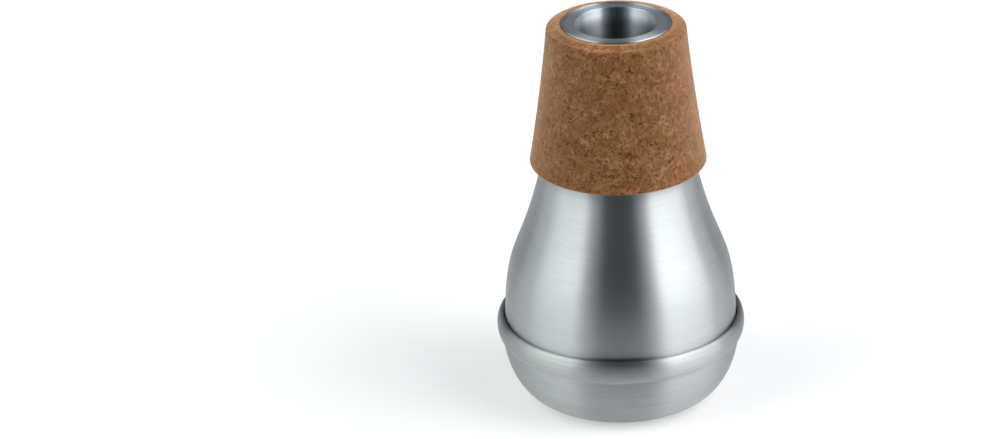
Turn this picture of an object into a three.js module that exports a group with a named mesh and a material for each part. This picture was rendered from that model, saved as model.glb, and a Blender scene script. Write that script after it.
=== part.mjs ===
// A practice mute for a brass instrument, standing on its dished end with the cork up.
// A pear-shaped body and a dished end cap, both spun from aluminium sheet, are crimped
// together in a bead. A cork sleeve sits on the body's neck, a throat tube is set in the
// neck's mouth, and a vent tube passes through the dished end. Lengths are in millimetres,
// and heights are measured up from the ring that the mute stands on. The axis is +Z.

import * as THREE from 'three';

// Sheet and fits.
const sheetWall = 0.9;
const fitGap = 0.3;

// End cap: the ring it rests on, its dish, and the bead round its open edge.
const restOuterRadius = 19.7;
const restWidth = 1.1;
const dishDepth = 3.7;
const beadRadius = 31.0;
const beadProud = 1.15;
const beadMidHeight = 18.4;
const beadHalfHeight = 2.8;
const beadLipReach = 0.45;
const beadLipRound = 0.35;
const holeCollarHeight = 3.0;

// Vent tube and the sealing ring that holds it in the cap.
const tubeRadius = 3.9;
const tubeWall = 0.7;
const tubeLength = 44.7;
const tubeRecess = 0.3;
const tubeEdgeRound = 0.2;
const tubeSealWall = 0.5;
const tubeSealRecess = 0.4;

// Body: flange in the bead, shoulder, neck under the cork.
const flangeClearance = 0.4;
const flangeDrop = 0.4;
const shoulderPull = 20.5;
const shoulderLean = 0.018;
const waistPull = 25.5;
const neckBottomRadius = 18.9;
const neckTopRadius = 13.5;
const neckSlope = 0.22;

// Mouth: the neck's rounded lip, and the throat tube with its rim just below the lip.
const mouthHeight = 98.8;
const lipRound = 0.25;
const throatDrop = 0.12;
const throatFall = 0.08;
const throatRimWidth = 2.45;
const throatRound = 0.4;
const throatLength = 12.0;
const throatTaper = 0.25;

// Cork sleeve and the adhesive film under it. A narrow flat land round the lip ends the
// cork, and from there its top slopes down to a rounded edge.
const corkBottomHeight = 62.2;
const corkBottomWall = 2.75;
const corkTopWall = 3.5;
const corkHollow = 0.31;
const corkLandWidth = 1.1;
const corkTopFall = 0.7;
const corkTopRound = 0.8;
const corkBottomRound = 0.6;
const filmWall = 0.2;

// Steps that the round stretches are drawn in.
const turnSteps = 48;
const wallSteps = 8;
const neckSteps = 4;
const cornerSteps = 6;
const dishSteps = 3;
const beadSteps = 4;
const edgeSteps = 2;

const at = (radius, height) => new THREE.Vector2(radius, height);

// The points of a curve after its first one, so that stretches follow each other.
function stretch(curve, steps) {
  return curve.getPoints(steps).slice(1);
}

// Part of an ellipse round a centre, from one angle to another in quarter turns.
const quarter = Math.PI / 2;

function arc(centre, reach, rise, from, to, steps) {
  const backwards = to < from;
  const curve = new THREE.EllipseCurve(
    centre.x, centre.y, reach, rise, from * quarter, to * quarter, backwards);
  return stretch(curve, steps);
}

// The far side of a sheet: each point of an outline moved square to it, to the left.
function farSide(points, wall) {
  return points.map((point, i) => {
    const before = points[Math.max(i - 1, 0)];
    const after = points[Math.min(i + 1, points.length - 1)];
    const way = after.clone().sub(before).normalize();
    return at(point.x - way.y * wall, point.y + way.x * wall);
  });
}

// A closed outline turned about the mute's axis.
function turned(name, outline, material) {
  const geometry = new THREE.LatheGeometry([...outline, outline[0].clone()], turnSteps);
  geometry.rotateX(Math.PI / 2);
  const mesh = new THREE.Mesh(geometry, material);
  mesh.name = name;
  return mesh;
}

function finish(color, roughness, metalness) {
  return () => new THREE.MeshStandardMaterial({ color, roughness, metalness });
}

const spunAluminium = finish(0xb4b9bd, 0.3, 1);
const agglomeratedCork = finish(0xa87b58, 0.85, 0);
const contactAdhesive = finish(0x5e3f24, 0.6, 0);
const sealingCompound = finish(0x1d1d1f, 0.7, 0);

// The neck's outside from the cork's lower edge to the lip: a cone, drawn in a little.
const lipStartHeight = mouthHeight - lipRound;
const neckFoot = at(neckBottomRadius, corkBottomHeight);
const neckHead = at(neckTopRadius, lipStartHeight);
const neckPullHeight = (neckHead.y - neckFoot.y) / 2;
const neckPull = at(neckFoot.x - neckSlope * neckPullHeight, neckFoot.y + neckPullHeight);
const neckCurve = new THREE.QuadraticBezierCurve(neckFoot, neckPull, neckHead);

// The cork and the film under it sit on all of it.
const corkSeat = neckCurve.getPoints(neckSteps);

// The seam: the body's flange lies inside the bead, whose lip curls in over it.
const capWallRadius = beadRadius - beadProud;
const bodySeamRadius = capWallRadius - sheetWall;
const beadTop = beadMidHeight + beadHalfHeight;
const flangeTop = beadMidHeight - flangeDrop;
const beadLipRadius = bodySeamRadius + fitGap;
const beadTopRadius = beadLipRadius + beadLipReach;

// The lip of the neck, and the rim of the throat tube that is set inside it.
const lipInner = neckTopRadius - sheetWall;
const rimHeight = mouthHeight - throatDrop;
const rimUnderside = rimHeight - sheetWall;

function bodyShell() {
  const flangeRadius = beadRadius - sheetWall - flangeClearance;
  const flangeBottom = flangeTop - sheetWall;
  const seam = at(bodySeamRadius, beadTop - fitGap);

  // One curve swells from the seam over the shoulder and runs in to the neck.
  const shoulder = new THREE.CubicBezierCurve(
    seam,
    at(seam.x - shoulderLean * shoulderPull, seam.y + shoulderPull),
    at(neckFoot.x + neckSlope * waistPull, neckFoot.y - waistPull),
    neckFoot);
  const wallLine = [seam, ...stretch(shoulder, wallSteps), ...corkSeat.slice(1)];

  const lipEdge = at(neckTopRadius - lipRound, lipStartHeight);
  const lip = [
    ...arc(lipEdge, lipRound, lipRound, 0, 1, edgeSteps),
    at(lipInner, mouthHeight),
    at(lipInner, rimUnderside),
  ];
  const inside = farSide(wallLine, sheetWall).slice(0, -1).reverse();
  return turned('body_shell', [
    at(flangeRadius, flangeBottom),
    at(flangeRadius, flangeTop),
    at(bodySeamRadius, flangeTop),
    ...wallLine,
    ...lip,
    ...inside,
    at(bodySeamRadius - sheetWall, flangeBottom),
  ], spunAluminium());
}

// The throat tube: a rim that slopes in from the lip, and a straight wall below it.
function throatTube() {
  const throatRadius = lipInner - throatRimWidth;
  const rimInnerHeight = rimHeight - throatFall;
  const edge = at(throatRadius + throatRound, rimInnerHeight - throatRound);
  const foot = at(throatRadius - throatTaper, rimHeight - throatLength);
  return turned('throat_tube', [
    at(lipInner, rimUnderside),
    at(lipInner, rimHeight),
    at(edge.x, rimInnerHeight),
    ...arc(edge, throatRound, throatRound, 1, 2, edgeSteps),
    foot,
    at(foot.x + sheetWall, foot.y),
    at(throatRadius + sheetWall, rimInnerHeight - sheetWall),
  ], spunAluminium());
}

// The dished end: a shallow hollow inside the rest ring, with a hole for the vent tube.
const holeRadius = tubeRadius + tubeSealWall;
const restInnerRadius = restOuterRadius - restWidth;
const dishHeight = (radius) => dishDepth * (1 - (radius / restInnerRadius) ** 2);
const holeHeight = dishHeight(holeRadius);

function endCap() {
  const dish = [];
  for (let step = 0; step <= dishSteps; step += 1) {
    const radius = holeRadius + (restInnerRadius - holeRadius) * step / dishSteps;
    dish.push(at(radius, dishHeight(radius)));
  }
  const cornerReach = capWallRadius - restOuterRadius;
  const cornerEnd = -Math.asin(beadHalfHeight / beadMidHeight) / quarter;
  const beadTopReach = beadRadius - beadTopRadius;
  const outside = [
    at(holeRadius, holeHeight + holeCollarHeight),
    ...dish,
    at(restOuterRadius, 0),
    ...arc(at(restOuterRadius, beadMidHeight), cornerReach, beadMidHeight, -1, cornerEnd, cornerSteps),
    ...arc(at(capWallRadius, beadMidHeight), beadProud, beadHalfHeight, -1, 0, beadSteps),
    ...arc(at(beadTopRadius, beadMidHeight), beadTopReach, beadHalfHeight, 0, 1, beadSteps),
  ];
  const inside = farSide(outside, sheetWall).reverse();
  return turned('end_cap', [
    ...outside,
    at(beadLipRadius, beadTop - beadLipRound),
    at(beadLipRadius, beadTop - sheetWall),
    ...inside,
  ], spunAluminium());
}

function ventTube() {
  const tubeBoreRadius = tubeRadius - tubeWall;
  const top = tubeRecess + tubeLength;
  return turned('vent_tube', [
    at(tubeBoreRadius + tubeEdgeRound, tubeRecess),
    at(tubeRadius - tubeEdgeRound, tubeRecess),
    at(tubeRadius, tubeRecess + tubeEdgeRound),
    at(tubeRadius, top),
    at(tubeBoreRadius, top),
    at(tubeBoreRadius, tubeRecess + tubeEdgeRound),
  ], spunAluminium());
}

// Sealing compound between the vent tube and the collar of its hole.
function tubeSeal() {
  const bottom = holeHeight + tubeSealRecess;
  const top = holeHeight + holeCollarHeight;
  return turned('tube_seal', [
    at(tubeRadius, bottom),
    at(holeRadius, bottom),
    at(holeRadius, top),
    at(tubeRadius, top),
  ], sealingCompound());
}

// Sealing compound on the body's flange, under the curled lip of the bead.
function seamSeal() {
  const radius = beadTopRadius - fitGap / 2;
  const top = beadTop - sheetWall - fitGap;
  return turned('seam_seal', [
    at(bodySeamRadius, flangeTop),
    at(radius, flangeTop),
    at(radius, top),
    at(bodySeamRadius, top),
  ], sealingCompound());
}

// The cork sleeve's seat is the neck with the adhesive film on it.
const filmLine = corkSeat.map((point) => at(point.x + filmWall, point.y));

function corkBondFilm() {
  return turned('cork_bond_film', [...filmLine, ...[...corkSeat].reverse()], contactAdhesive());
}

function corkSleeve() {
  const corkBottomRadius = corkSeat[0].x + filmWall + corkBottomWall;
  const corkTopRadius = corkSeat[neckSteps].x + filmWall + corkTopWall;
  const foot = at(corkBottomRadius, corkBottomHeight + corkBottomRound);
  const head = at(corkTopRadius, lipStartHeight - corkTopFall - corkTopRound);
  const footEdge = at(foot.x - corkBottomRound, foot.y);
  const headEdge = at(head.x - corkTopRound, head.y);
  const middle = at((foot.x + head.x) / 2 - 2 * corkHollow, (foot.y + head.y) / 2);
  const flank = new THREE.QuadraticBezierCurve(foot, middle, head);
  return turned('cork_sleeve', [
    at(footEdge.x, corkBottomHeight),
    ...arc(footEdge, corkBottomRound, corkBottomRound, -1, 0, edgeSteps),
    ...stretch(flank, neckSteps),
    ...arc(headEdge, corkTopRound, corkTopRound, 0, 1, edgeSteps),
    at(filmLine[neckSteps].x + corkLandWidth, lipStartHeight),
    ...[...filmLine].reverse(),
  ], agglomeratedCork());
}

const mute = new THREE.Group();
mute.add(bodyShell(), throatTube(), endCap(), ventTube(), tubeSeal(), seamSeal());
mute.add(corkBondFilm(), corkSleeve());
export default mute;
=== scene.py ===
# %% [markdown]
# # A spun aluminium practice mute with a cork sleeve
#
# A practice mute keeps most of the sound in, so that a brass player can practise at home. This one
# is a pear-shaped shell of thin aluminium with a dished end crimped over its wide edge, a short
# tube that lets the air out, and a sleeve of cork on its neck that holds it in place. Every piece
# of it is round, so nearly all of this lesson is about turning an outline round an axis, and about
# what makes brushed metal and pressed cork look real.
#
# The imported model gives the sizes. It is loaded first, as a frame that is never moved or changed,
# and each finer piece is built in the place of one of its nodes.

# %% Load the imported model
from math import asin, cos, degrees, pi, radians, sin, tan, tau

import bpy
from mathutils import Matrix, Vector, noise


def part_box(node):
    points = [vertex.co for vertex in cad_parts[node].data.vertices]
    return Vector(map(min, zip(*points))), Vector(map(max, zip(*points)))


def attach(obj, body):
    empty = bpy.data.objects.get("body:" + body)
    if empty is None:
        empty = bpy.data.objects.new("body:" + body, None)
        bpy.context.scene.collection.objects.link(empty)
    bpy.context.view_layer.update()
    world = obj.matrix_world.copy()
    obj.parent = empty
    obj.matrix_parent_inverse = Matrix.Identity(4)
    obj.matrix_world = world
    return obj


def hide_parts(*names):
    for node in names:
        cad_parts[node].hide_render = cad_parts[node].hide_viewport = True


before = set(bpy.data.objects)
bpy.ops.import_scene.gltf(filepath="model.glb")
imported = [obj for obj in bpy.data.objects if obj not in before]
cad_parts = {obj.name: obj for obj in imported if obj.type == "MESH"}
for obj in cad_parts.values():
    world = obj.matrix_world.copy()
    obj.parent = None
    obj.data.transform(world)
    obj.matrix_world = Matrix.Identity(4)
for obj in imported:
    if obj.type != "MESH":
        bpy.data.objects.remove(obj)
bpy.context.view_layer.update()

print("nodes:", ", ".join(sorted(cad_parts)))

# %% [markdown]
# ## Sizes
#
# Blender works in metres, but a mute is easier to describe in millimetres, so the outlines below
# are in millimetres and one factor turns them into metres. The outside sizes of a turned piece are
# its largest radius and its lowest and highest point, and the frame knows all three. The thickness
# of the sheet and of the film and the gap of the fits don't show in a box, so they are named here.

# %% Sizes from the frame
MM = 0.001


def turned_size(node):
    """Largest radius, lowest and highest point of a turned node, in millimetres."""
    low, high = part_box(node)
    return high[0] / MM, low[2] / MM, high[2] / MM


bead_radius, rest_height, bead_top = turned_size("end_cap")
flange_radius, flange_bottom, mouth_height = turned_size("body_shell")
tube_radius, tube_bottom, tube_top = turned_size("vent_tube")
hole_radius, tube_seal_bottom, tube_seal_top = turned_size("tube_seal")
lip_inner, throat_bottom, rim_height = turned_size("throat_tube")
seam_seal_radius, flange_top, seam_seal_top = turned_size("seam_seal")
film_radius, cork_bottom, cork_top = turned_size("cork_bond_film")
cork_radius = turned_size("cork_sleeve")[0]

sheet_wall = 0.9
fit_gap = 0.3
film_wall = 0.2
print("rest ring at %.1f mm, bead %.1f mm across, mouth %.1f mm up, cork %.1f to %.1f mm up" % (
    rest_height, 2 * bead_radius, mouth_height, cork_bottom, cork_top))

# %% [markdown]
# ## Outlines
#
# An outline is a list of points, each a radius and a height. Straight stretches need only their
# ends. Round corners are parts of ellipses, and the long swelling walls are Bézier curves, which
# need two ends and one or two points that pull the line. The inner side of a sheet is its outer
# side moved by the thickness of the sheet, square to the line, as a spinner's sheet really is.

# %% Arcs, curves and the far side of a sheet
def arc(centre, reach, rise, start, end, steps=10):
    """Part of an ellipse round a centre, from one angle to another in degrees."""
    angles = [radians(start + (end - start) * step / steps) for step in range(steps + 1)]
    return [(centre[0] + reach * cos(angle), centre[1] + rise * sin(angle)) for angle in angles]


def bezier(*points, steps=40):
    """A Bézier curve through its end points, pulled by the points between them."""
    line = []
    for step in range(steps + 1):
        way = step / steps
        left = [Vector(point) for point in points]
        while len(left) > 1:
            left = [near.lerp(far, way) for near, far in zip(left, left[1:])]
        line.append(tuple(left[0]))
    return line


def far_side(line, wall):
    """Each point of a line moved square to it, to the left, by the thickness of the sheet."""
    moved = []
    for place, (radius, height) in enumerate(line):
        before = Vector(line[max(place - 1, 0)])
        after = Vector(line[min(place + 1, len(line) - 1)])
        way = (after - before).normalized()
        moved.append((radius - way.y * wall, height + way.x * wall))
    return moved


print("a quarter of a circle in", len(arc((0, 0), 1, 1, 0, 90)), "points")

# %% [markdown]
# ## Turning
#
# A lathe or a spinning chuck makes the same cut at every angle. Blender's Screw modifier or its
# spin tool can sweep an outline in the same way, but with hundreds of steps a plain list of points
# and faces is quicker, and it is easy to measure and to roughen later. The outline is closed and
# runs anticlockwise, so each piece is a solid whose faces look outwards, like the real one.
# Smooth shading hides the steps, and the edges that are really sharp are marked by their angle.

# %% Turn an outline into a piece
SHARP_FROM = radians(40)


def turned(name, outline, sides=360):
    """A closed outline of (radius, height) points in millimetres, turned round the axis."""
    count = len(outline)
    turns = [tau * side / sides for side in range(sides)]
    points = [(radius * cos(turn) * MM, radius * sin(turn) * MM, height * MM)
              for turn in turns for radius, height in outline]
    faces = []
    for side in range(sides):
        here, there = side * count, (side + 1) % sides * count
        for low in range(count):
            high = (low + 1) % count
            faces.append((here + low, there + low, there + high, here + high))
    mesh = bpy.data.meshes.new(name)
    mesh.from_pydata(points, [], faces)
    mesh.shade_smooth()
    mesh.set_sharp_from_angle(angle=SHARP_FROM)
    piece = bpy.data.objects.new(name, mesh)
    bpy.context.scene.collection.objects.link(piece)
    print("%s: %d points" % (name, len(points)))
    return piece


def stands_for(piece, node):
    """The piece takes the place of a node of the frame, which is hidden, and hangs from the root.
    """
    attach(piece, "root")
    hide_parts(node)


# %% [markdown]
# ## The neck
#
# The neck runs from the cork's lower edge to the lip, just above the cork. It is nearly a cone,
# drawn in a little at its waist. The body, the adhesive and the cork all follow this one line, so
# it comes first.

# %% The neck's line
neck_top_radius = 13.5
neck_slope = 0.22

neck_foot = (film_radius - film_wall, cork_bottom)
neck_head = (neck_top_radius, cork_top)
half_neck = (neck_head[1] - neck_foot[1]) / 2
neck_pull = (neck_foot[0] - neck_slope * half_neck, neck_foot[1] + half_neck)
cork_seat = bezier(neck_foot, neck_pull, neck_head, steps=24)
print("neck %.1f to %.1f mm across" % (2 * neck_foot[0], 2 * neck_head[0]))

# %% [markdown]
# ## The body
#
# The body is one sheet, spun over a form. Seen from below upwards, it starts with a flange inside
# the crimped seam, swells over the shoulder in one curve, runs up the neck under the cork, and
# ends in a thin rounded lip. The whole sheet is modelled, because the mouth lets the eye look in.

# %% The body's wall
bead_proud = 1.15
cap_wall_radius = bead_radius - bead_proud
seam_radius = cap_wall_radius - sheet_wall
seam = (seam_radius, bead_top - fit_gap)
shoulder_pull = 20.5
shoulder_lean = 0.018
waist_pull = 25.5
shoulder = bezier(
    seam,
    (seam[0] - shoulder_lean * shoulder_pull, seam[1] + shoulder_pull),
    (neck_foot[0] + neck_slope * waist_pull, neck_foot[1] - waist_pull),
    neck_foot, steps=72)
wall_line = shoulder + cork_seat[1:]
print("wall %.1f mm across at the seam, %.1f mm at the lip" % (
    2 * wall_line[0][0], 2 * wall_line[-1][0]))

# %% The lip, and the body turned
lip_round = mouth_height - cork_top
lip_edge = 0.06
rim_underside = rim_height - sheet_wall
lip = (
    arc((neck_top_radius - lip_round, neck_head[1]), lip_round, lip_round, 0, 90)
    + arc((lip_inner + lip_edge, mouth_height - lip_edge), lip_edge, lip_edge, 90, 180, steps=5)
    + [(lip_inner, rim_underside)])
body_inside = far_side(wall_line, sheet_wall)[:-1][::-1]
body = turned("spun_body", [
    (flange_radius, flange_bottom), (flange_radius, flange_top), (seam_radius, flange_top),
    *wall_line, *lip, *body_inside, (seam_radius - sheet_wall, flange_bottom)])
stands_for(body, "body_shell")

# %% [markdown]
# ## The throat tube
#
# A turned tube is set in the neck's mouth. Its rim lies just below the lip and slopes gently in,
# and its wall runs straight down into the neck. A fine groove shows between the rim and the lip.

# %% The throat tube
rim_fall = 0.08
rim_width = 2.45
rim_edge = 0.08
throat_round = 0.15
throat_taper = 0.25
throat_radius = lip_inner - rim_width
rim_inner_height = rim_height - rim_fall
throat_edge = (throat_radius + throat_round, rim_inner_height - throat_round)
throat_foot = (throat_radius - throat_taper, throat_bottom)
throat = turned("turned_throat_tube", [
    (lip_inner, rim_underside),
    *arc((lip_inner - rim_edge, rim_height - rim_edge), rim_edge, rim_edge, 0, 90, steps=3),
    *arc(throat_edge, throat_round, throat_round, 90, 180),
    throat_foot, (throat_foot[0] + sheet_wall, throat_bottom),
    (throat_radius + sheet_wall, rim_inner_height - sheet_wall)])
stands_for(throat, "throat_tube")

# %% [markdown]
# ## The end cap
#
# The cap is a second sheet. It rests on a narrow ring, with a shallow dish inside it and a hole in
# the middle of the dish. Outside the ring it rounds up into a short wall, and its edge swells into
# a bead that is crimped over the flange of the body. The bead is what the eye reads as the seam:
# its lower half is a soft swelling and its upper half a tight curl. A spinner's roller can't make a
# sharp inside corner, so the wall runs into the bead through a small round.

# %% The rest ring and the dish
rest_outer = 19.7
rest_width = 1.1
rest_inner = rest_outer - rest_width
dish_depth = 3.7
collar_height = 3.0


def dish_height(radius):
    """Height of the dish above the rest ring at a radius."""
    return dish_depth * (1 - (radius / rest_inner) ** 2)


dish_steps = 30
dish_radii = [hole_radius + (rest_inner - hole_radius) * step / dish_steps
              for step in range(dish_steps + 1)]
dish = [(radius, dish_height(radius)) for radius in dish_radii]
print("rest ring %.1f to %.1f mm across, dish %.1f mm deep" % (
    2 * rest_inner, 2 * rest_outer, dish_depth))

# %% The wall, the groove and the bead
bead_half_height = 2.8
bead_start = -70
groove_round = 0.55
groove_swell = 0.05

bead_middle = bead_top - bead_half_height
corner_end = -degrees(asin((bead_half_height + groove_round) / bead_middle))
corner = arc((rest_outer, bead_middle), cap_wall_radius - rest_outer, bead_middle,
             -90, corner_end, steps=50)
swelling = arc((cap_wall_radius, bead_middle), bead_proud, bead_half_height,
               bead_start, 0, steps=20)
steepness = bead_half_height / (-bead_proud * tan(radians(bead_start)))
groove_radius = corner[-1][0] + groove_swell
groove_pull = (groove_radius, swelling[0][1] - (swelling[0][0] - groove_radius) * steepness)
groove = bezier(corner[-1], groove_pull, swelling[0], steps=12)
print("bead %.1f mm high, its middle %.1f mm up" % (2 * bead_half_height, bead_middle))

# %% The bead's curl, and the cap turned
bead_lip_reach = 0.45
bead_lip_round = 0.35

bead_lip_radius = seam_radius + fit_gap
bead_top_radius = bead_lip_radius + bead_lip_reach
curl = arc((bead_top_radius, bead_middle), bead_radius - bead_top_radius, bead_half_height,
           0, 90, steps=20)
cap_outside = [
    (hole_radius, dish_height(hole_radius) + collar_height), *dish,
    *corner, *groove[1:-1], *swelling, *curl[1:]]
cap = turned("spun_cap", [
    *cap_outside,
    (bead_lip_radius, bead_top - bead_lip_round), (bead_lip_radius, bead_top - sheet_wall),
    *far_side(cap_outside, sheet_wall)[::-1]])
stands_for(cap, "end_cap")

# %% [markdown]
# ## The vent tube and what seals and bonds
#
# A drawn tube passes through the hole in the dish and up into the body, and lets the air out. A
# ring of dark sealing compound fills the gap round it, the same compound closes the crimped seam,
# and a film of adhesive holds the cork on the neck. They are small, but their edges show. The dark
# of the compound is partly its own and partly painted shade for the gaps that it fills.

# %% The tube, the seals and the film
tube_wall = 0.7
tube_round = 0.2
tube_bore = tube_radius - tube_wall
tube_edge = tube_bottom + tube_round
tube_end = (
    arc((tube_bore + tube_round, tube_edge), tube_round, tube_round, 180, 270, steps=6)
    + arc((tube_radius - tube_round, tube_edge), tube_round, tube_round, 270, 360, steps=6))
tube = turned("drawn_tube", [*tube_end, (tube_radius, tube_top), (tube_bore, tube_top)], sides=120)
stands_for(tube, "vent_tube")

tube_seal = turned("tube_sealing_ring", [
    (tube_radius, tube_seal_bottom), (hole_radius, tube_seal_bottom),
    (hole_radius, tube_seal_top), (tube_radius, tube_seal_top)], sides=120)
stands_for(tube_seal, "tube_seal")

seam_seal = turned("seam_sealing_ring", [
    (seam_radius, flange_top), (seam_seal_radius, flange_top),
    (seam_seal_radius, seam_seal_top), (seam_radius, seam_seal_top)])
stands_for(seam_seal, "seam_seal")

film_line = [(radius + film_wall, height) for radius, height in cork_seat]
film = turned("adhesive_film", [*film_line, *cork_seat[::-1]])
stands_for(film, "cork_bond_film")

# %% [markdown]
# ## The cork sleeve
#
# The sleeve is agglomerated cork: granules of about a millimetre, pressed together with a binder
# and sanded to a cone. A narrow flat land lies round the lip, and the top slopes down from it to a
# rounded edge. Sanding leaves it nearly smooth, but some granules stand a hair proud, others sit a
# little low, and small pits are left where bits have torn out. The outline is cut into short
# steps, and then each point moves by a little noise, always inwards from the sanded surface, so
# the cork keeps the frame's size.

# %% The sleeve's outline
cork_bottom_round = 0.6
cork_top_round = 0.8
cork_top_fall = 0.7
cork_land = 1.1
cork_top_wall = 3.5
cork_hollow = 0.31

cork_foot = (cork_radius, cork_bottom + cork_bottom_round)
cork_head = (film_line[-1][0] + cork_top_wall, cork_top - cork_top_fall - cork_top_round)
cork_middle = ((cork_foot[0] + cork_head[0]) / 2 - 2 * cork_hollow,
               (cork_foot[1] + cork_head[1]) / 2)
foot_edge = (cork_foot[0] - cork_bottom_round, cork_foot[1])
head_edge = (cork_head[0] - cork_top_round, cork_head[1])
land_edge = (film_line[-1][0] + cork_land, cork_top)
print("cork %.1f mm high, %.1f mm across near its top" % (
    cork_top - cork_bottom, 2 * cork_head[0]))


# %% The sleeve, still smooth
def in_steps(start, end, step=0.25):
    """Points along a straight line, about a quarter of a millimetre apart."""
    count = max(1, round((Vector(end) - Vector(start)).length / step))
    return [tuple(Vector(start).lerp(Vector(end), place / count)) for place in range(count + 1)]


sanded_line = (
    in_steps(film_line[0], (foot_edge[0], cork_bottom))
    + arc(foot_edge, cork_bottom_round, cork_bottom_round, -90, 0, steps=6)[1:]
    + bezier(cork_foot, cork_middle, cork_head, steps=126)[1:]
    + arc(head_edge, cork_top_round, cork_top_round, 0, 90, steps=7)[1:]
    + in_steps((head_edge[0], cork_top - cork_top_fall), land_edge)[1:]
    + in_steps(land_edge, film_line[-1])[1:])
sleeve_outline = sanded_line + film_line[1:-1][::-1]
sleeve = turned("sanded_cork_sleeve", sleeve_outline, sides=540)

# %% Roughen the cork
GRANULE = 1.1
SANDED_DEPTH, WAVE_DEPTH = 0.04, 0.03
PIT = 0.45
PIT_LIMIT = 0.4
PIT_DEPTH = 0.8


def cork_depth(place):
    """How far the sanded surface lies below its cone at a place in millimetres."""
    waves = noise.noise(place / GRANULE)
    torn = max(0.0, noise.noise(place / PIT) - PIT_LIMIT)
    return SANDED_DEPTH + WAVE_DEPTH * waves + PIT_DEPTH * torn


def roughen(piece, outline, shown):
    """Moves the points of the shown part of the outline inwards by the cork's depth there."""
    points = piece.data.vertices
    normals = [point.normal.copy() for point in points]
    for place, (point, normal) in enumerate(zip(points, normals)):
        if 0 < place % len(outline) < shown - 1:
            point.co -= normal * cork_depth(point.co / MM) * MM
    piece.data.update()


roughen(sleeve, sleeve_outline, len(sanded_line))
stands_for(sleeve, "cork_sleeve")
widest = max(point.co.x for point in sleeve.data.vertices) / MM
print("cork %.1f mm across at its lower edge" % (2 * widest))

# %% [markdown]
# ## Colours and nodes
#
# Colours are written as sRGB hex values, as an image editor shows them, and Blender wants them
# linear, so one function turns them. Another adds a node with its settings and links, whatever its
# kind. That is all that a material needs.

# %% Helpers for materials
def colour(code):
    """An sRGB hex colour as linear red, green, blue and alpha."""
    channels = [int(code[place:place + 2], 16) / 255 for place in (1, 3, 5)]
    linear = [c / 12.92 if c <= 0.04045 else ((c + 0.055) / 1.055) ** 2.4 for c in channels]
    return (*linear, 1.0)


def new_material(name):
    """A new material and its Principled shader."""
    material = bpy.data.materials.new(name)
    material.use_nodes = True
    return material, material.node_tree.nodes["Principled BSDF"]


def add(material, kind, settings=None, **inputs):
    """Adds a node. Settings are its own properties; inputs are values or sockets for its inputs."""
    node = material.node_tree.nodes.new(kind)
    for name, value in (settings or {}).items():
        setattr(node, name, value)
    for name, value in inputs.items():
        key = int(name[1:]) if name[0] == "_" else name.replace("_", " ")
        plug(material, node.inputs[key], value)
    return node


def plug(material, socket, value):
    """Links a socket to an input, or sets the input to a value."""
    if isinstance(value, bpy.types.NodeSocket):
        material.node_tree.links.new(value, socket)
    else:
        socket.default_value = value


print("the grey #808080 is %.3f in linear light" % colour("#808080")[0])

# %% [markdown]
# ## Spun and brushed aluminium
#
# The body and the cap are soft aluminium sheet, spun and then brushed with fine abrasive while they
# turn. That leaves hair-fine scratches that run round the axis. They stretch each reflection along
# the axis and keep it narrow round it, so the metal shows tall soft-edged bands. Blender's
# anisotropy does this. Its tangent runs round the axis, and a quarter turn points the stretch up
# and down. Real scratches are finer than a tenth of a millimetre. Here the streaks are 0.3 mm
# apart, as coarse as they need to be to show, and each fades out after about 15 mm.
#
# The noise that draws the streaks is squeezed: it changes quickly with height and radius, and
# slowly round the axis. It moves the metal's shade, its gloss and its surface a little, together.

# %% Streaks round the axis
STREAK_PITCH = 0.3
STREAK_LENGTH = 15.0


def streak_coordinates(material):
    """Object coordinates squeezed so that noise runs in long lines round the axis."""
    place = add(material, "ShaderNodeTexCoord").outputs["Object"]
    parts = add(material, "ShaderNodeSeparateXYZ", Vector=place)
    flat = add(material, "ShaderNodeVectorMath", {"operation": "MULTIPLY"}, _0=place, _1=(1, 1, 0))
    radius = add(material, "ShaderNodeVectorMath", {"operation": "LENGTH"}, _0=flat.outputs[0])
    climb = add(material, "ShaderNodeMath", {"operation": "ADD"},
                _0=parts.outputs["Z"], _1=radius.outputs["Value"])
    across = add(material, "ShaderNodeMath", {"operation": "MULTIPLY"},
                 _0=climb.outputs[0], _1=1 / (STREAK_PITCH * MM))
    along = add(material, "ShaderNodeVectorMath", {"operation": "SCALE"},
                _0=flat.outputs[0], Scale=1 / (STREAK_LENGTH * MM))
    lift = add(material, "ShaderNodeCombineXYZ", Z=across.outputs[0])
    return add(material, "ShaderNodeVectorMath", {"operation": "ADD"},
               _0=along.outputs[0], _1=lift.outputs[0]).outputs[0]


print("streaks %.1f mm apart, about %.0f mm long" % (STREAK_PITCH, STREAK_LENGTH))

# %% Brushed aluminium
NOISE_LOW, NOISE_HIGH = 0.3, 0.7
GLOSS_CHANGE = 0.02
SCRATCH_DEPTH = 0.02
SCRATCH_STRENGTH = 0.035
QUARTER_TURN = 0.25


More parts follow.
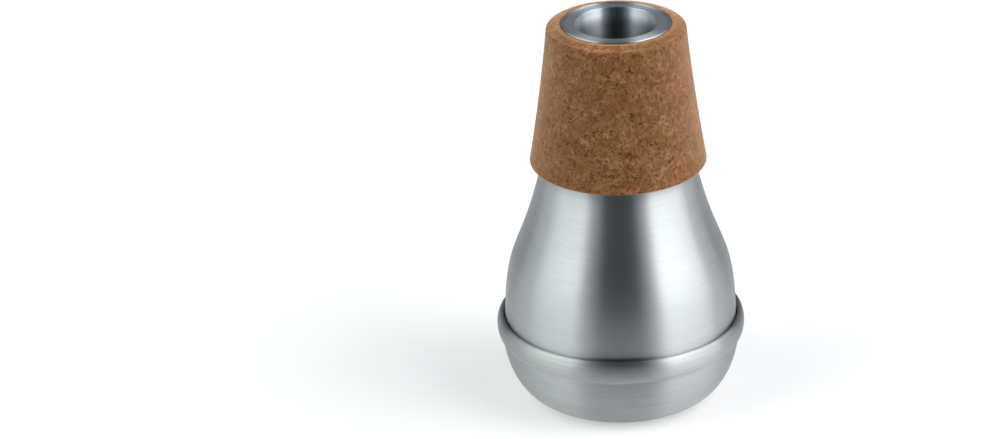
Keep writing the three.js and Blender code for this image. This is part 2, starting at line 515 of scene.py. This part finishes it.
def brushed_aluminium(name, base, roughness, anisotropy, streaks):
    """Metal whose shade varies by a share in streaks round the axis, with drawn out reflections."""
    material, shader = new_material(name)
    shader.inputs["Metallic"].default_value = 1.0
    shader.inputs["Anisotropic"].default_value = anisotropy
    shader.inputs["Anisotropic Rotation"].default_value = QUARTER_TURN
    tangent = add(material, "ShaderNodeTangent", {"direction_type": "RADIAL", "axis": "Z"})
    plug(material, shader.inputs["Tangent"], tangent.outputs[0])

    fine = add(material, "ShaderNodeTexNoise", Scale=1.0, Detail=3.0, Roughness=0.6,
               Vector=streak_coordinates(material))
    shade = add(material, "ShaderNodeMapRange", Value=fine.outputs["Fac"],
                From_Min=NOISE_LOW, From_Max=NOISE_HIGH, To_Min=1 - streaks, To_Max=1 + streaks)
    tint = add(material, "ShaderNodeVectorMath", {"operation": "SCALE"},
               _0=colour(base)[:3], Scale=shade.outputs[0])
    plug(material, shader.inputs["Base Color"], tint.outputs[0])
    gloss = add(material, "ShaderNodeMapRange", Value=fine.outputs["Fac"],
                From_Min=NOISE_LOW, From_Max=NOISE_HIGH,
                To_Min=roughness + GLOSS_CHANGE, To_Max=roughness - GLOSS_CHANGE)
    plug(material, shader.inputs["Roughness"], gloss.outputs[0])
    bump = add(material, "ShaderNodeBump", Strength=SCRATCH_STRENGTH,
               Distance=SCRATCH_DEPTH * MM, Height=fine.outputs["Fac"])
    plug(material, shader.inputs["Normal"], bump.outputs[0])
    return material


print("scratches %.2f mm deep, at a strength of %.3f" % (SCRATCH_DEPTH, SCRATCH_STRENGTH))

# %% The metal of the body, the cap and the vent tube
# Brushing the spun body turns each lamp into one tall band with soft edges.
body_aluminium = brushed_aluminium(
    "brushed_body_aluminium", "#b3b6b8", roughness=0.425, anisotropy=0.98, streaks=0.045)
# The cap's copy of the metal is a shade darker, as painted shade for the shaded floor it reflects
# near its base, and this sets its bead off from the body.
cap_aluminium_painted_shade = brushed_aluminium(
    "brushed_cap_aluminium", "#abaeaf", roughness=0.425, anisotropy=0.98, streaks=0.1)
# A drawn surface is cleaner, so its bands are a little sharper.
tube_aluminium = brushed_aluminium(
    "drawn_tube_aluminium", "#bcc3c8", roughness=0.37, anisotropy=0.95, streaks=0.06)
for piece, metal in ((body, body_aluminium), (cap, cap_aluminium_painted_shade), (tube, tube_aluminium)):
    piece.data.materials.append(metal)
    print("%s: %s" % (piece.name, metal.name))

# %% [markdown]
# ### The throat tube's metal
#
# The wall of the throat tube is bright for about two millimetres and darker below, and both are
# painted. Its metal is a lighter copy of the drawn aluminium, as painted light on the top of the
# bore. A ramp of greys over the height paints shade deeper in the bore and on the thin edge at the
# rim. Most likely its mouth was cut to size, and the bore below keeps the skin that it was drawn
# with. The depth of a place below the rim tells which grey it gets, so a ramp of greys over the
# height is all it takes. It dims the colour that the streaks have made.

# %% The throat tube's metal, with painted light and shade
BORE_DEPTH = 8.0
BRIGHT_TO, SHADED_FROM = 2.0, 4.4
RIM_SHADE, DEEP_SHADE = 0.77, 0.42
# Depths below the rim in millimetres, and how much of its brightness the metal keeps there under
# the painted shade.
BORE_PAINTED_SHADES = ((SHADED_FROM, 0.48), (3.2, 0.68), (BRIGHT_TO, 1.0), (0.5, 1.0), (0.3, RIM_SHADE))


def grey(level):
    """A grey that keeps a share of the brightness of the colour it is multiplied with."""
    return (level, level, level, 1.0)


# A lighter copy of the drawn tube's metal: painted light on the top of the bore.
throat_aluminium_painted_light_and_shade = brushed_aluminium(
    "turned_throat_aluminium", "#d2dae0", roughness=0.37, anisotropy=0.95, streaks=0.06)
throat_place = add(throat_aluminium_painted_light_and_shade, "ShaderNodeTexCoord").outputs["Object"]
throat_height = add(throat_aluminium_painted_light_and_shade, "ShaderNodeSeparateXYZ", Vector=throat_place).outputs["Z"]
throat_share = add(throat_aluminium_painted_light_and_shade, "ShaderNodeMapRange", Value=throat_height,
                   From_Min=(rim_height - BORE_DEPTH) * MM, From_Max=rim_height * MM)
bore_painted_shade = add(throat_aluminium_painted_light_and_shade, "ShaderNodeValToRGB", Fac=throat_share.outputs[0])
painted_shade_stops = bore_painted_shade.color_ramp.elements
for depth, level in BORE_PAINTED_SHADES:
    painted_shade_stops.new(1 - depth / BORE_DEPTH).color = grey(level)
painted_shade_stops[0].color, painted_shade_stops[-1].color = grey(DEEP_SHADE), grey(RIM_SHADE)

throat_colour = throat_aluminium_painted_light_and_shade.node_tree.nodes["Principled BSDF"].inputs["Base Color"]
painted_shade_colour = add(throat_aluminium_painted_light_and_shade, "ShaderNodeVectorMath", {"operation": "MULTIPLY"},
             _0=throat_colour.links[0].from_socket, _1=bore_painted_shade.outputs["Color"])
plug(throat_aluminium_painted_light_and_shade, throat_colour, painted_shade_colour.outputs[0])
throat.data.materials.append(throat_aluminium_painted_light_and_shade)
# Below the bright band the ramp paints shade into the bore.
print("bore bright down to %.1f mm, dull from %.1f mm" % (BRIGHT_TO, SHADED_FROM))

# %% [markdown]
# ## Agglomerated cork
#
# Each granule is a piece of ground bark, so each has its own brown. Sanding and handling have
# evened the browns out. A smooth Voronoi texture gives every granule random values, a coarser one
# does the same for whole patches, and fine grit lies over both. One value picks the brown from a
# ramp, and another one leans it to olive or to red. Both Voronoi textures are read at a place that
# a noise has moved a little, because ground bark has crumbled edges and not straight ones.

# %% Patches and granules of bark
PATCH = 3.0
CRUMB = 0.9
CRUMB_REACH = 1.4

cork_material, cork_shader = new_material("sanded_agglomerated_cork")
cork_place = add(cork_material, "ShaderNodeTexCoord").outputs["Object"]
crumbs = add(cork_material, "ShaderNodeTexNoise", Scale=1 / (CRUMB * MM), Detail=3.0,
             Vector=cork_place)
crumbled = add(cork_material, "ShaderNodeVectorMath", {"operation": "MULTIPLY_ADD"},
               _0=crumbs.outputs["Color"], _1=(CRUMB_REACH * MM,) * 3, _2=cork_place).outputs[0]


def cork_pieces(size, smoothness):
    """Random values for each piece of bark of a size in millimetres, with soft edges."""
    pieces = add(cork_material, "ShaderNodeTexVoronoi", {"feature": "SMOOTH_F1"},
                 Scale=1 / (size * MM), Smoothness=smoothness, Vector=crumbled)
    return add(cork_material, "ShaderNodeSeparateColor", Color=pieces.outputs["Color"]).outputs


patches = cork_pieces(PATCH, smoothness=0.8)
granules = cork_pieces(GRANULE, smoothness=0.4)
print("granules %.1f mm, patches %.1f mm" % (GRANULE, PATCH))

# %% The browns of the granules
GRIT = 0.3
PATCH_WEIGHT, GRIT_WEIGHT = 0.5, 2.3
DARKEST_SUM, PALEST_SUM = 1.05, 2.65

grit = add(cork_material, "ShaderNodeTexNoise", Scale=1 / (GRIT * MM), Detail=3.0,
           Vector=cork_place)
mixed = add(cork_material, "ShaderNodeMath", {"operation": "MULTIPLY_ADD"},
            _0=patches[0], _1=PATCH_WEIGHT, _2=granules[0])
mixed = add(cork_material, "ShaderNodeMath", {"operation": "MULTIPLY_ADD"},
            _0=grit.outputs["Fac"], _1=GRIT_WEIGHT, _2=mixed.outputs[0])
brown_share = add(cork_material, "ShaderNodeMapRange", Value=mixed.outputs[0],
                  From_Min=DARKEST_SUM, From_Max=PALEST_SUM)
browns = add(cork_material, "ShaderNodeValToRGB", Fac=brown_share.outputs[0])
shades = browns.color_ramp.elements
for position, code in ((0.35, "#794c25"), (0.7, "#895d3a")):
    shades.new(position).color = colour(code)
shades[0].color, shades[-1].color = colour("#653b18"), colour("#9b7657")
print("grit %.1f mm, %d browns" % (GRIT, len(shades)))

# %% Olive and red
GRANULE_WEIGHT = 0.6
OLIVE_SUM, RED_SUM = 0.4, 1.2

redness = add(cork_material, "ShaderNodeMath", {"operation": "MULTIPLY_ADD"},
              _0=granules[1], _1=GRANULE_WEIGHT, _2=patches[1])
red_share = add(cork_material, "ShaderNodeMapRange", Value=redness.outputs[0],
                From_Min=OLIVE_SUM, From_Max=RED_SUM)
cast = add(cork_material, "ShaderNodeMix", {"data_type": "RGBA"},
           _0=red_share.outputs[0], _6=colour("#f6ffee"), _7=colour("#fff6ee"))
reddened = add(cork_material, "ShaderNodeMix", {"data_type": "RGBA", "blend_type": "MULTIPLY"},
               _0=1.0, _6=browns.outputs["Color"], _7=cast.outputs[2])
print("olive up to a sum of %.1f, red from %.1f" % (OLIVE_SUM, RED_SUM))

# %% [markdown]
# ### Dark grains, pores and dust
#
# Harder bark leaves many small reddish-brown grains, and torn bits leave a few darker pores, whose
# dark is partly the bark's own and partly painted shade for the inside of the pits. Both are where
# a noise rises above a limit, and its distortion draws the marks out into short cracks.
# Sanding also leaves a fine dust on the cork. It scatters light that grazes it, so the cork is
# paler towards its sides, and this is what sheen does.

# %% Grains and pores
GRAIN = 0.6
PORE = 1.2


def cork_marks(size, detail, distortion, start, full, strength):
    """Marks of a size in millimetres, where a noise rises from a start to its full value."""
    bark = add(cork_material, "ShaderNodeTexNoise", Scale=1 / (size * MM), Detail=detail,
               Distortion=distortion, Vector=cork_place)
    return add(cork_material, "ShaderNodeMapRange", Value=bark.outputs["Fac"],
               From_Min=start, From_Max=full, To_Max=strength).outputs[0]


grain_marks = cork_marks(GRAIN, detail=3.0, distortion=0.6, start=0.53, full=0.64, strength=0.9)
# The pores' dark is partly the bark's own colour and partly painted shade in the pits.
pore_marks_and_shade = cork_marks(PORE, detail=4.0, distortion=1.0, start=0.6, full=0.66, strength=1.0)
grained = add(cork_material, "ShaderNodeMix", {"data_type": "RGBA"},
              _0=grain_marks, _6=reddened.outputs[2], _7=colour("#552c08"))
pored_and_shaded = add(cork_material, "ShaderNodeMix", {"data_type": "RGBA"},
            _0=pore_marks_and_shade, _6=grained.outputs[2], _7=colour("#421e03"))
plug(cork_material, cork_shader.inputs["Base Color"], pored_and_shaded.outputs[2])
print("grains %.1f mm, pores %.1f mm" % (GRAIN, PORE))

# %% Dust and gloss
cork_shader.inputs["Sheen Weight"].default_value = 0.8
cork_shader.inputs["Sheen Roughness"].default_value = 0.5
cork_shader.inputs["Sheen Tint"].default_value = colour("#ffcfa8")
cork_shader.inputs["Roughness"].default_value = 0.55
cork_shader.inputs["Specular IOR Level"].default_value = 0.15
sleeve.data.materials.append(cork_material)
print("%s: %s" % (sleeve.name, cork_material.name))

# %% [markdown]
# ### Adhesive and sealing compound
#
# Contact adhesive is brushed on and dries brown, with low ridges that catch the light in a thin
# uneven line. The sealing compound cures to a dull dark skin. It is hardly more than a line at the
# seam, but the line is what tells the eye that two sheets meet there. Its dark is partly the
# compound's own and partly painted shade for the gap between the sheets.

# %% Adhesive
GLUE_RIDGE = 0.8
RIDGE_HEIGHT = 0.05

adhesive_material, adhesive_shader = new_material("dried_contact_adhesive")
lumps = add(adhesive_material, "ShaderNodeTexNoise", Scale=1 / (GLUE_RIDGE * MM), Detail=3.0,
            Vector=add(adhesive_material, "ShaderNodeTexCoord").outputs["Object"])
brushed_on = add(adhesive_material, "ShaderNodeMix", {"data_type": "RGBA"},
                 _0=lumps.outputs["Fac"], _6=colour("#3f2818"), _7=colour("#5e4029"))
plug(adhesive_material, adhesive_shader.inputs["Base Color"], brushed_on.outputs[2])
ridges = add(adhesive_material, "ShaderNodeBump", Strength=0.5, Distance=RIDGE_HEIGHT * MM,
             Height=lumps.outputs["Fac"])
plug(adhesive_material, adhesive_shader.inputs["Normal"], ridges.outputs[0])
adhesive_shader.inputs["Roughness"].default_value = 0.55
film.data.materials.append(adhesive_material)
print("adhesive ridges %.1f mm apart" % GLUE_RIDGE)

# %% Sealing compound
SKIN_WRINKLE = 0.4

sealing_compound_and_gap_shade, compound_shader = new_material("cured_sealing_compound_and_gap_shade")
wrinkles = add(sealing_compound_and_gap_shade, "ShaderNodeTexNoise", Scale=1 / (SKIN_WRINKLE * MM), Detail=3.0,
               Vector=add(sealing_compound_and_gap_shade, "ShaderNodeTexCoord").outputs["Object"])
skin = add(sealing_compound_and_gap_shade, "ShaderNodeMix", {"data_type": "RGBA"},
           _0=wrinkles.outputs["Fac"], _6=colour("#141416"), _7=colour("#232326"))
plug(sealing_compound_and_gap_shade, compound_shader.inputs["Base Color"], skin.outputs[2])
dull = add(sealing_compound_and_gap_shade, "ShaderNodeMapRange", Value=wrinkles.outputs["Fac"],
           To_Min=0.45, To_Max=0.75)
plug(sealing_compound_and_gap_shade, compound_shader.inputs["Roughness"], dull.outputs[0])
# The compound's dark is partly a real seal and partly painted shade for the gaps at the seam and
# round the vent tube.
for piece in (tube_seal, seam_seal):
    piece.data.materials.append(sealing_compound_and_gap_shade)
print("compound wrinkles %.1f mm apart" % SKIN_WRINKLE)

# %% [markdown]
# ## The camera
#
# The mute was seen from in front and a little above, from about a metre away with a long lens. The
# aim is the point of the axis at half height, and a small roll and offset put it where it falls in
# the frame.

# %% The camera
FRAME_WIDTH, FRAME_HEIGHT = 1000, 439
SENSOR = 36.0
camera_distance = 1.0
camera_elevation = radians(24.77)
camera_roll = radians(0.90)
focal_pixels = 4029.0
aim_height = 0.05
aim_pixel = (618.88, 204.21)

camera_data = bpy.data.cameras.new("camera")
camera_data.sensor_width = SENSOR
camera_data.lens = SENSOR * focal_pixels / FRAME_WIDTH
camera = bpy.data.objects.new("camera", camera_data)
bpy.context.scene.collection.objects.link(camera)
bpy.context.scene.camera = camera

right = Vector((1, 0, 0))
up = Vector((0, sin(camera_elevation), cos(camera_elevation)))
back = right.cross(up)
across = (aim_pixel[0] - FRAME_WIDTH / 2) / focal_pixels
down = (aim_pixel[1] - FRAME_HEIGHT / 2) / focal_pixels
offset = Vector((0, 0, -1)).rotation_difference(Vector((across, -down, -1)))
from_world = offset.to_matrix() @ Matrix.Rotation(camera_roll, 3, "Z") @ Matrix((right, up, back))
camera_place = Matrix.Translation(back * camera_distance + Vector((0, 0, aim_height)))
camera.matrix_world = camera_place @ from_world.transposed().to_4x4()
print("lens %.0f mm, %.1f degrees above the horizon" % (
    camera_data.lens, degrees(camera_elevation)))

# %% [markdown]
# ## The floor
#
# The mute stands on a plain white floor. Part of its white is a glow that only the camera, the
# metal's mirror rays and rays through something clear can see. The rest is matt and takes the
# mute's shadow. The glow adds no light to the mute, so the floor can be white without bleaching it.

# %% The floor
FLOOR_REACH = 4.0
FLOOR_GLOW = 0.4


def sheet_of(name, corners):
    """A flat sheet from its four corners in metres. It is part of the studio, not of the mute."""
    mesh = bpy.data.meshes.new(name)
    mesh.from_pydata(corners, [], [(0, 1, 2, 3)])
    sheet = bpy.data.objects.new(name, mesh)
    bpy.context.scene.collection.objects.link(sheet)
    return sheet


def matt_material(name, code):
    """A material with no gloss at all, and its shader. Only the studio has it."""
    material, shader = new_material(name)
    shader.inputs["Base Color"].default_value = colour(code)
    shader.inputs["Roughness"].default_value = 1.0
    shader.inputs["Specular IOR Level"].default_value = 0.0
    return material, shader


floor = sheet_of("floor", [(-FLOOR_REACH, -FLOOR_REACH, 0), (FLOOR_REACH, -FLOOR_REACH, 0),
                           (FLOOR_REACH, FLOOR_REACH, 0), (-FLOOR_REACH, FLOOR_REACH, 0)])
floor_material, floor_shader = matt_material("matt_white_floor", "#c8c8c8")
path = add(floor_material, "ShaderNodeLightPath")
seen = add(floor_material, "ShaderNodeMath", {"operation": "ADD", "use_clamp": True},
           _0=path.outputs["Is Camera Ray"], _1=path.outputs["Is Glossy Ray"])
seen = add(floor_material, "ShaderNodeMath", {"operation": "ADD", "use_clamp": True},
           _0=seen.outputs[0], _1=path.outputs["Is Transmission Ray"])
glow = add(floor_material, "ShaderNodeMath", {"operation": "MULTIPLY"},
           _0=seen.outputs[0], _1=FLOOR_GLOW)
floor_shader.inputs["Emission Color"].default_value = (1, 1, 1, 1)
plug(floor_material, floor_shader.inputs["Emission Strength"], glow.outputs[0])
floor.data.materials.append(floor_material)
print("floor %.0f m across" % (2 * FLOOR_REACH))

# %% [markdown]
# ## The light
#
# Brushed metal shows what is round it, so the lamps are laid out for their reflections. A tall soft
# lamp stands on each side, a little in front of the mute, and each makes one bright band. A dimmer
# one beside it, further back, lets the metal fall off towards its edge. The lamps on the right are
# the stronger ones. A weak lamp overhead lights the cork's top and the rim.

# %% The lamps
LAMP_DISTANCE, LAMP_HEIGHT = 0.9, 1.7
LAMP_FOOT = 0.2


def soft_lamp(name, centre, back, width, height, level, tint="#ffffff"):
    """A soft lamp at centre that faces away from the direction back. Level 1 is white."""
    data = bpy.data.lights.new(name, "AREA")
    data.shape = "RECTANGLE"
    data.size, data.size_y = width, height
    data.energy = level * pi * width * height
    data.color = colour(tint)[:3]
    lamp = bpy.data.objects.new(name, data)
    bpy.context.scene.collection.objects.link(lamp)
    lamp.location = centre
    lamp.rotation_euler = back.to_track_quat("Z", "Y").to_euler()


def upright_lamp(name, start, end, level, tint="#ffffff"):
    """An upright lamp between two azimuths. Azimuth 0 is in front of the mute, 90 to its right."""
    width = 2 * LAMP_DISTANCE * tan(radians(abs(end - start) / 2))
    middle = radians((start + end) / 2)
    back = Vector((sin(middle), -cos(middle), 0))
    centre = back * LAMP_DISTANCE + Vector((0, 0, LAMP_FOOT + LAMP_HEIGHT / 2))
    soft_lamp(name, centre, back, width, LAMP_HEIGHT, level, tint)


upright_lamp("right_lamp", start=42, end=101, level=4.4)
upright_lamp("right_fill", start=101, end=128, level=1.6)
upright_lamp("left_lamp", start=-43, end=-96, level=2.95, tint="#fcfffa")
upright_lamp("left_fill", start=-96, end=-125, level=1.4, tint="#fcfffa")
soft_lamp("top_lamp", centre=Vector((0, 0.35, 1.3)), back=Vector((0, 0, 1)),
          width=1.0, height=0.6, level=0.35)
print("lamps:", ", ".join(sorted(light.name for light in bpy.data.lights)))

# %% [markdown]
# ## The card, the backdrop and the room
#
# A dark card stands between the lamps and lies on the floor in front of the mute. It is the old way
# to give round metal a dark band between two bright ones. A grey backdrop behind the mute does the
# same for its rims. A real card and backdrop would be kept out of the picture, and their shadows
# too. Here the camera looks through them, and only the metal sees the card. The rest of the room is
# a plain grey.

# %% The card
card_near_half_width, card_half_width = 0.05, 0.13
card_near, card_far, card_top = 0.088, 0.35, 0.6
card_lift = 0.001
card_material = matt_material("black_card", "#0e2028")[0]
lying = sheet_of("lying_card", [
    (-card_near_half_width, -card_near, card_lift), (card_near_half_width, -card_near, card_lift),
    (card_half_width, -card_far, card_lift), (-card_half_width, -card_far, card_lift)])
standing = sheet_of("standing_card", [
    (-card_half_width, -card_far, 0), (card_half_width, -card_far, 0),
    (card_half_width, -card_far, card_top), (-card_half_width, -card_far, card_top)])
for card in (lying, standing):
    card.visible_camera = card.visible_diffuse = card.visible_shadow = False
    card.data.materials.append(card_material)
print("card %.0f mm in front of the axis" % (card_near / MM))

# %% The backdrop and the room
drop_half_width, drop_distance, drop_top = 0.5, 0.8, 0.6
backdrop = sheet_of("backdrop", [
    (-drop_half_width, drop_distance, 0), (drop_half_width, drop_distance, 0),
    (drop_half_width, drop_distance, drop_top), (-drop_half_width, drop_distance, drop_top)])
backdrop.data.materials.append(matt_material("grey_backdrop", "#868686")[0])
backdrop.visible_camera = False

world = bpy.data.worlds.new("grey_room")
bpy.context.scene.world = world
world.use_nodes = True
room = world.node_tree.nodes["Background"]
room.inputs["Color"].default_value = colour("#667079")
room.inputs["Strength"].default_value = 1.0

bpy.context.scene.view_settings.view_transform = "Standard"
print("backdrop %.0f mm behind the axis" % (drop_distance / MM))
